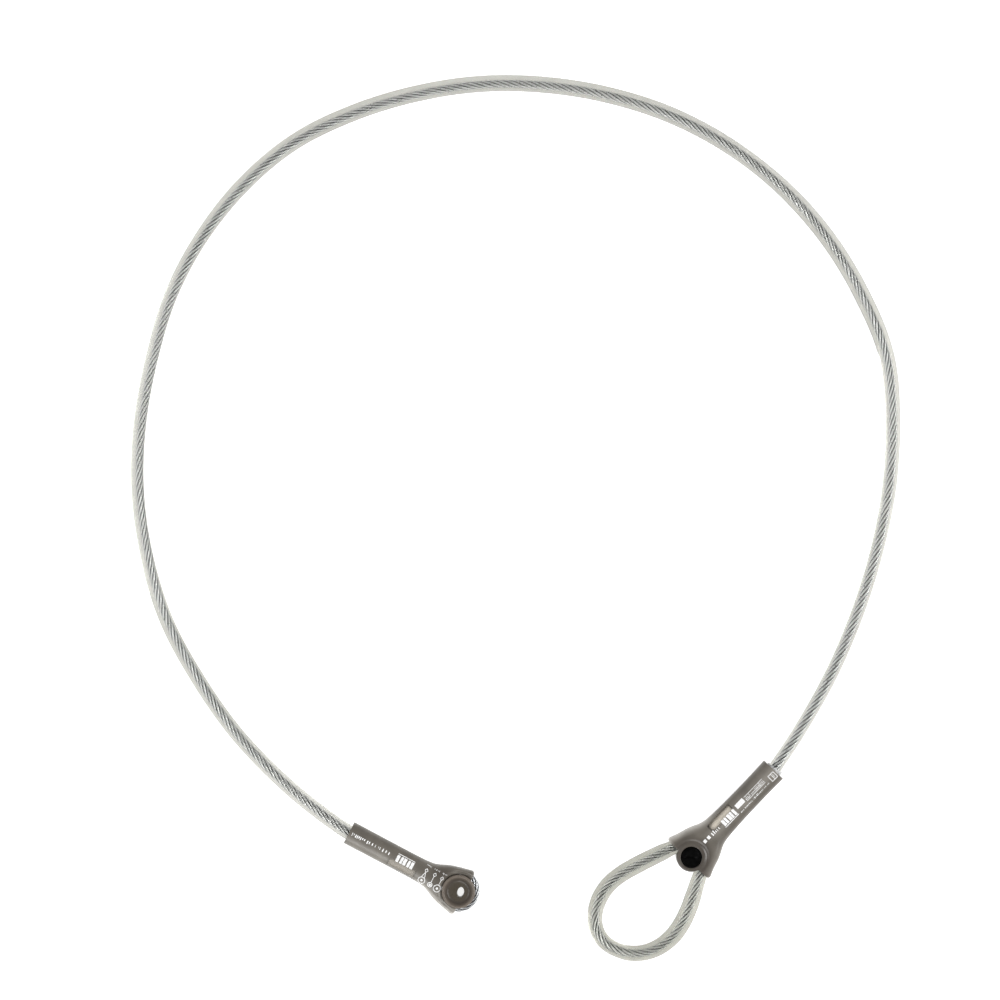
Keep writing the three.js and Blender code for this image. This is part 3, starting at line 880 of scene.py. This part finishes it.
def tint_cover(thing, ferrule_start, tunnel, widths, shades):
    """Marks where the ferrule shows through, and how pale the plastic is: thin rims are paler, and painted
    light makes the lit side, the rims on that side, a ridge round the head's middle and the tail's middle
    paler still.
    """
    places = points_of(thing.data) / MM
    along, across, height = places.T
    rows = np.array(tunnel, float)
    half_width = np.interp(along, rows[:, 0], rows[:, 1])
    half_height = np.interp(along, rows[:, 0], rows[:, 2])
    inside = ((across / (half_width + 0.45)) ** 2 + (height / (half_height + 0.45)) ** 2 < 1) & (along > 20)
    ferrule_end = ferrule_start + FERRULE_LENGTH
    over = ease(along, ferrule_start - 0.8, ferrule_start + 0.8)
    over *= 1 - ease(along, ferrule_end - 0.8, ferrule_end + 0.8)
    # Painted shade: the cover is clear only over the ferrule's lit half and stays opaque over its shaded
    # half.
    over *= ease(across, -1.0, 3.2)
    window = shades["window"] * over * (1 - shades["edge"] * ease(across, 7.9, 9.3))
    opacity = np.where(inside, 1 - 0.85 * over, 0.985 - window)
    outline = np.array(widths)
    inset = np.interp(along, outline[:, 0], outline[:, 1]) - np.abs(across)
    # How far each point lies towards the side facing the lamps, for painted light.
    lit_side = ease(across, -3, 9)
    shade = shades["head"] + (shades["tail"] - shades["head"]) * ease(along, 14, 50)
    # Thin rims are paler, and on the lit side much paler, which is painted light.
    shade += shades["rim"] * (1 + 1.7 * lit_side) * np.exp(-((inset / 3.2) ** 2)) * (1 - ease(along, 20, 50))
    reach = np.hypot(along, across)
    shade += shades["centre"] * (1 - ease(reach, 14, 20))
    # Painted highlight on the ridge pressed round the head's middle.
    shade += shades["ring"] * np.exp(-(((reach - 15.7) / 1.5) ** 2))
    # Painted light: the whole side towards the lamps is paler.
    shade += shades["side"] * lit_side
    # Painted highlight along the tail's middle, standing for light thrown up from the rope and ferrule
    # beneath.
    shade += shades["middle"] * np.exp(-((across / 5) ** 2)) * ease(along, 14, 30)
    for name, values in [("opacity", opacity), ("shade", shade)]:
        layer = thing.data.attributes.new(name, "FLOAT", "POINT")
        layer.data.foreach_set("value", values.astype(np.float32))


def eye_rope_points():
    turn = []
    for angle in np.radians(np.linspace(*EYE_TURN_ANGLES, 11)):
        turn.append((EYE_TURN_RADIUS * math.cos(angle), EYE_TURN_RADIUS * math.sin(angle)))
    return [*EYE_LIVE_ROPE, *turn, *EYE_DEAD_ROPE]


def local_line(points):
    return [(along * MM, across * MM) for along, across in points]


def line_on(fitting, points):
    return Path([fitting.at(along * MM, across * MM) for along, across in points])


def eye_cover():
    cover = cover_skin(EYE_COVER_WIDTHS, EYE_HALF_HEIGHT)
    combine(cover, hollow(EYE_TUNNEL), "DIFFERENCE")
    combine(cover, hollow(EYE_SLOT), "DIFFERENCE")
    combine(cover, swept(local_line(eye_rope_points()), 3.3 * MM, 24), "DIFFERENCE")
    combine(cover, bore(BUSH_SEAT_RADIUS), "DIFFERENCE")
    soften(cover, COVER_GRAIN, 6)
    press(cover, BUSH_SEAT_RADIUS, 1.9, 2.6, EYE_COVER_WIDTHS, 0.7)
    tint_cover(cover, EYE_FERRULE_START, EYE_TUNNEL, EYE_COVER_WIDTHS, EYE_COVER_SHADES)
    return place_piece(cover, "smoky_eye_cover", EYE, SMOKY_COVER, "smoky_cover", "eye_end", "eye_cover")


def head_cover():
    cover = cover_skin(HEAD_COVER_WIDTHS, HEAD_HALF_HEIGHT)
    combine(cover, turned(TONGUE), "UNION")
    combine(cover, hollow(HEAD_TUNNEL), "DIFFERENCE")
    for side in (-1, 1):
        leg = local_line([(along, side * across) for along, across in LEG_CHANNEL])
        combine(cover, swept(leg, LEG_CHANNEL_RADIUS * MM, 48), "DIFFERENCE")
    combine(cover, bore(PLUG_BARREL_SEAT_RADIUS), "DIFFERENCE")
    combine(cover, bore(PLUG_SEAT_RADIUS, low=LEG_CHANNEL_RADIUS), "DIFFERENCE")
    combine(cover, bore(PLUG_SEAT_RADIUS, high=-LEG_CHANNEL_RADIUS), "DIFFERENCE")
    soften(cover, COVER_GRAIN, 8)
    press(cover, 13.6, 0.7, 1.3, HEAD_COVER_WIDTHS, 0.0)
    tint_cover(cover, HEAD_FERRULE_START, HEAD_TUNNEL, HEAD_COVER_WIDTHS, HEAD_COVER_SHADES)
    return place_piece(cover, "smoky_loop_cover", HEAD, SMOKY_COVER, "smoky_cover", "loop_end", "loop_cover")


def weld(thing):
    """Joins rings that were laid on each other."""
    joined = thing.modifiers.new("weld", "WELD")
    joined.merge_threshold = 1e-6
    settle(thing)


def keeper_bush():
    cosines, sines = circle(40)
    lean = math.radians(BUSH_HOLE["lean"])
    hole_along = BUSH_HOLE["half_along"] * cosines
    hole_across = BUSH_HOLE["half_across"] * sines
    hole = np.stack([
        BUSH_HOLE["along"] + hole_along * math.cos(lean) - hole_across * math.sin(lean),
        hole_along * math.sin(lean) + hole_across * math.cos(lean),
    ], axis=1)
    round_way = np.stack([cosines, sines], axis=1)
    lower = [(roundness, radius, -height) for roundness, radius, height in reversed(BUSH_UPPER)]
    rings = []
    for roundness, radius, height in [*BUSH_UPPER, *lower]:
        flat = roundness * radius * round_way + (1 - roundness) * hole
        rings.append(np.column_stack([flat, np.full(len(flat), height)]) * MM)
    bush = solid(rings, caps=(False, False))
    weld(bush)
    rounder = bush.modifiers.new("round", "SUBSURF")
    rounder.levels = 2
    settle(bush)
    radius = np.hypot(*points_of(bush.data)[:, :2].T) / MM
    # Painted shade: darker in the dish towards the hole, paler out at the rim.
    layer = bush.data.attributes.new("shade", "FLOAT", "POINT")
    layer.data.foreach_set("value", ease(radius, 5.0, 14.0).astype(np.float32))
    return place_piece(bush, "keeper_bush", EYE, BUSH_PLASTIC, "keeper_bush", "eye_end", "eye_keeper_bush")


def ferrule(name, fitting, start, body, node):
    rows = []
    for along, inset in [(0, 1.1), (0.25, 0.55), (0.7, 0.15), (1.3, 0)]:
        rows.append((start + along, 8.3 - inset, 6.0 - inset, 2.15))
    for along in np.linspace(2, FERRULE_LENGTH - 2, 18):
        squeeze = 0.12 * math.cos(2 * math.pi * 3 * along / FERRULE_LENGTH)
        rows.append((start + along, 8.2 + squeeze, 5.9 - squeeze, 2.15))
    for along, inset in [(1.3, 0), (0.7, 0.15), (0.25, 0.55), (0, 1.1)]:
        rows.append((start + FERRULE_LENGTH - along, 8.3 - inset, 6.0 - inset, 2.15))
    block = solid(oval_rings(in_metres(rows), 72))
    for side in (-1, 1):
        hole = hollow([(start - 5, 3.0, 3.0, 2), (start + FERRULE_LENGTH + 5, 3.0, 3.0, 2)])
        hole.data.transform(Matrix.Translation((0, side * ROPE_OFFSET * MM, 0)))
        combine(block, hole, "DIFFERENCE")
    return place_piece(block, name, fitting, FERRULE_METAL, "ferrule", body, node)


def plug_cap():
    cap = turned(PLUG_CAP)
    half_width, half_length = PLUG_SLOT_WIDTH / 2, 12
    rows = [(-half_length, half_width, PLUG_SLOT_DEPTH, 12), (half_length, half_width, PLUG_SLOT_DEPTH, 12)]
    slot = hollow(rows)
    lift = Matrix.Translation((0, 0, PLUG_TOP * MM))
    slot.data.transform(lift @ Matrix.Rotation(math.radians(-HEAD_TURN), 4, "Z"))
    combine(cap, slot, "DIFFERENCE")
    return place_piece(cap, "black_plug_cap", HEAD, BLACK_PLUG, "black_plug", "plug", "plug_screw")


def plug_base():
    base = turned(PLUG_BASE)
    return place_piece(base, "black_plug_base", HEAD, BLACK_PLUG, "black_plug", "loop_end", "plug_barrel")


def collar():
    """A clear sleeve's ragged end, just out of the loop cover's mouth."""
    draws = random.Random(7)
    sides = 48
    raggedness = np.array([draws.uniform(-0.5, 0.5) for _ in range(sides // 2)]).repeat(2) * MM
    distances = evenly(cable_path.length - COLLAR_START, cable_path.length - COLLAR_END, 0.0012)
    points, along, left, up = cable_path.frames(distances)
    tear = (1 - ease(distances - distances[0], 0, 0.004))[:, None] * raggedness[None, :]
    cosines, sines = circle(sides)
    wrinkle = 1 + 0.012 * np.sin(5 * np.arctan2(sines, cosines))[None, :, None]
    builder = Builder()
    ends = []
    for radius, inward in [(COLLAR_RADIUS * MM, False), (COLLAR_BORE_RADIUS * MM, True)]:
        skin = rings_round(points, left, up, sides, radius * wrinkle) + along[:, None] * tear[:, :, None]
        ends.append(builder.tube(skin, distances, inward=inward))
    (outer_first, outer_last), (inner_first, inner_last) = ends
    builder.bridge(outer_first, sides, inner_first, sides, flip=True)
    builder.bridge(outer_last, sides, inner_last, sides)
    sleeve = builder.finish("clear_collar")
    return place_piece(sleeve, "clear_collar", None, COLLAR_PLASTIC, "clear_sheath", "loop_end",
                       "loop_tail_collar")


def stranded(name, line, body, node, turn=0.0):
    piece = rope(name, line, 0.0, line.length, turn, caps=(True, True), steel=SHADED_STEEL)
    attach(piece, body)
    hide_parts(node)


class Print:
    """White marks on a cover's top, drawn in millimetres along and across its fitting."""

    THICKNESS = 0.00005

    def __init__(self, fitting, cover):
        self.fitting = fitting
        corners = [vertex.co for vertex in cover.data.vertices]
        self.surface = BVHTree.FromPolygons(corners, [tuple(face.vertices) for face in cover.data.polygons])
        self.builder = Builder()
        self.height = AXIS_HEIGHT * 2

    def on_surface(self, along, across):
        x, y, _ = self.fitting.at(along * MM, across * MM)
        hit = self.surface.ray_cast(Vector((x, y, 0.1)), Vector((0, 0, -1)))[0]
        if hit is not None:
            self.height = hit.z
        return x, y, self.height

    def line(self, points, width):
        """A band of ink along straight stretches between points."""
        line = [np.array(points[0], float)]
        for start, end in zip(points, points[1:]):
            start, end = np.array(start, float), np.array(end, float)
            steps = max(1, round(float(np.linalg.norm(end - start)) / 0.6))
            line.extend(start + (end - start) * step / steps for step in range(1, steps + 1))
        line = np.array(line)
        forward = unit(np.gradient(line, axis=0))
        left = np.stack([-forward[:, 1], forward[:, 0]], axis=1) * width / 2
        rings = []
        for place, side in zip(line, left):
            near = self.on_surface(*(place + side))
            far = self.on_surface(*(place - side))
            rings.append([
                (*near[:2], near[2] + self.THICKNESS), (*far[:2], far[2] + self.THICKNESS),
                (*far[:2], far[2] - self.THICKNESS), (*near[:2], near[2] - self.THICKNESS),
            ])
        self.builder.tube(np.array(rings), caps=(True, True))

    def block(self, along, across, width=0.75):
        """A filled rectangle between two distances along and two across."""
        (start, end), (low, high) = along, across
        rows = max(1, round((high - low) / width))
        band = (high - low) / rows
        for row in range(rows):
            middle_line = low + (row + 0.5) * band
            self.line([(start, middle_line), (end, middle_line)], band)

    def ring(self, along, across, radius, width):
        turns = np.linspace(0, 2 * math.pi, 25)
        self.line([(along + radius * math.cos(t), across + radius * math.sin(t)) for t in turns], width)

    def ticks(self, along, across, pitch, draws):
        """A row of small upright ticks of uneven height and width, which say nothing."""
        start, end = along
        low, high = across
        place = start
        while place < end:
            thickness = draws.choice((0.3, 0.4, 0.6)) * pitch
            top = low + (high - low) * draws.choice((0.6, 0.8, 1.0))
            self.line([(place, low), (place, top)], thickness)
            place += pitch * draws.choice((1.0, 1.0, 1.2, 1.9))

    def finish(self, name, body):
        return place_piece(self.builder.finish(name), name, None, WHITE_PRINT, "smoky_cover", body)


def eye_print(cover):
    """Three small diagrams, a row of bars and a line of ticks."""
    draws = random.Random(3)
    marks = Print(EYE, cover)
    for along, head, gap in [(17.2, 3.0, 0.0), (24.0, 1.9, 0.0), (31.9, 2.9, 1.5)]:
        marks.ring(along, 6.0, head, 0.55)
        marks.ring(along, 6.0, 0.6, 0.8)
        marks.line([(along - gap, 6.0 - head), (along, -1.6)], 0.45)
        if gap:
            marks.line([(along + gap, 6.0 - head), (along, -1.6)], 0.45)
        diamond = [(0, -1.6), (-1.3, -3.3), (0, -5.0), (1.3, -3.3), (0, -1.6)]
        marks.line([(along + shift, place) for shift, place in diamond], 0.45)
        marks.ticks((along - 2.2, along + 2.2), (-8.1, -7.1), 0.9, draws)
    for bar, width in enumerate((2.6, 2.2, 2.8, 2.2, 2.6)):
        start = 43.4 + 3.3 * bar
        marks.block((start, start + width), (-3.9, 1.9))
    marks.line([(43.4, -4.9), (59.2, -4.9)], 0.5)
    marks.ticks((66.5, 101.5), (-2.5, 0.3), 1.5, draws)
    return marks.finish("eye_print", "eye_end")


def head_print(cover):
    """Two squares, a row of bars, a solid label, an outlined line, a line of ticks and a small frame."""
    draws = random.Random(5)
    marks = Print(HEAD, cover)
    for along in (16.4, 20.8):
        marks.block((along, along + 2.8), (-0.4, 2.4))
    marks.ticks((26.3, 34.5), (-0.8, 2.8), 1.7, draws)
    for bar, width in enumerate((2.6, 2.1, 2.8, 2.2, 2.4)):
        start = 38.6 + 3.15 * bar
        marks.block((start, start + width), (-2.6, 3.1))
    marks.line([(38.2, -3.5), (54.2, -3.5)], 0.6)
    marks.block((56.2, 65.2), (-0.3, 3.9))
    marks.ticks((67.2, 88.2), (-0.6, 2.4), 1.1, draws)
    marks.line([(66.8, 2.9), (88.4, 2.9)], 0.35)
    marks.line([(66.8, -1.2), (88.4, -1.2)], 0.35)
    marks.ticks((56.5, 90.0), (-4.6, -2.9), 1.2, draws)
    marks.line([(93.3, -5.4), (99.2, -5.4), (99.2, 0.4), (93.3, 0.4), (93.3, -5.4)], 0.5)
    marks.line([(96.2, -5.4), (96.2, 0.4)], 0.5)
    marks.line([(97.4, -4.4), (97.4, -0.6)], 0.4)
    return marks.finish("loop_print", "loop_end")


eye_print(eye_cover())
keeper_bush()
ferrule("eye_pressed_ferrule", EYE, EYE_FERRULE_START, "eye_end", "eye_ferrule")
stranded("eye_strands", line_on(EYE, eye_rope_points()), "eye_end", "eye_rope_turn")

head_print(head_cover())
ferrule("loop_pressed_ferrule", HEAD, HEAD_FERRULE_START, "loop_end", "loop_ferrule")
stranded("live_leg_strands", line_on(HEAD, HEAD_LIVE_ROPE), "loop_end", "loop_live_leg",
         2 * math.pi * cable_path.length / LAY)
dead_leg = line_on(HEAD, HEAD_DEAD_ROPE)
stranded("dead_end_strands", dead_leg, "loop_end", "loop_dead_end", -2 * math.pi * dead_leg.length / LAY)
plug_cap()
plug_base()
collar()


# Floor and light


def floor():
    """A pale table lit from inside, so that it stays white round the object."""
    mesh = bpy.data.meshes.new("floor")
    half = 15
    corners = [(x * half + middle.x, y * half + middle.y, 0) for x, y in [(-1, -1), (1, -1), (1, 1), (-1, 1)]]
    mesh.from_pydata(corners, [], [(0, 1, 2, 3)])
    made, shader = new_material("pale_floor", Roughness=0.9, Specular_IOR_Level=0.0, Emission_Strength=0.84)
    shade = ramp(made, noise(made, 2), [(0.3, grey(0.50)), (0.7, grey(0.52))])
    wire(made, shade, shader.inputs["Base Color"])
    shader.inputs["Emission Color"].default_value = (1, 1, 0.99, 1)
    mesh.materials.append(made)
    link("floor", mesh)


def sky():
    """A soft studio dome: dim overhead, bright towards the sides."""
    world = bpy.data.worlds.new("studio")
    bpy.context.scene.world = world
    world.use_nodes = True
    place = add_node(world, "ShaderNodeTexCoord").outputs["Generated"]
    split = add_node(world, "ShaderNodeSeparateXYZ")
    wire(world, place, split.inputs["Vector"])
    colour = ramp(world, split.outputs["Z"], [(0.0, grey(0.82)), (0.35, grey(0.67)), (0.9, grey(0.43))])
    background = world.node_tree.nodes["Background"]
    wire(world, colour, background.inputs["Color"])
    background.inputs["Strength"].default_value = 1.0


def softbox(name, azimuth, elevation, distance, width, height, power):
    """A lamp at an angle round the object and above the floor, facing the object."""
    light = bpy.data.lights.new(name, "AREA")
    light.shape = "RECTANGLE"
    light.size = width
    light.size_y = height
    light.energy = power
    lamp = bpy.data.objects.new(name, light)
    bpy.context.scene.collection.objects.link(lamp)
    turn, lift = math.radians(azimuth), math.radians(elevation)
    way = Vector((math.cos(turn) * math.cos(lift), math.sin(turn) * math.cos(lift), math.sin(lift)))
    lamp.location = Vector((middle.x, middle.y, 0)) + distance * way
    lamp.rotation_euler = (-way).to_track_quat("-Z", "Y").to_euler()


floor()
sky()
softbox("right_light", 358, 38, 3.0, 1.8, 1.0, 72)
softbox("left_light", 182, 38, 3.0, 1.8, 1.0, 32)
softbox("front_light", 246, 44, 3.0, 2.0, 1.2, 44)

bpy.context.scene.view_settings.view_transform = "Standard"
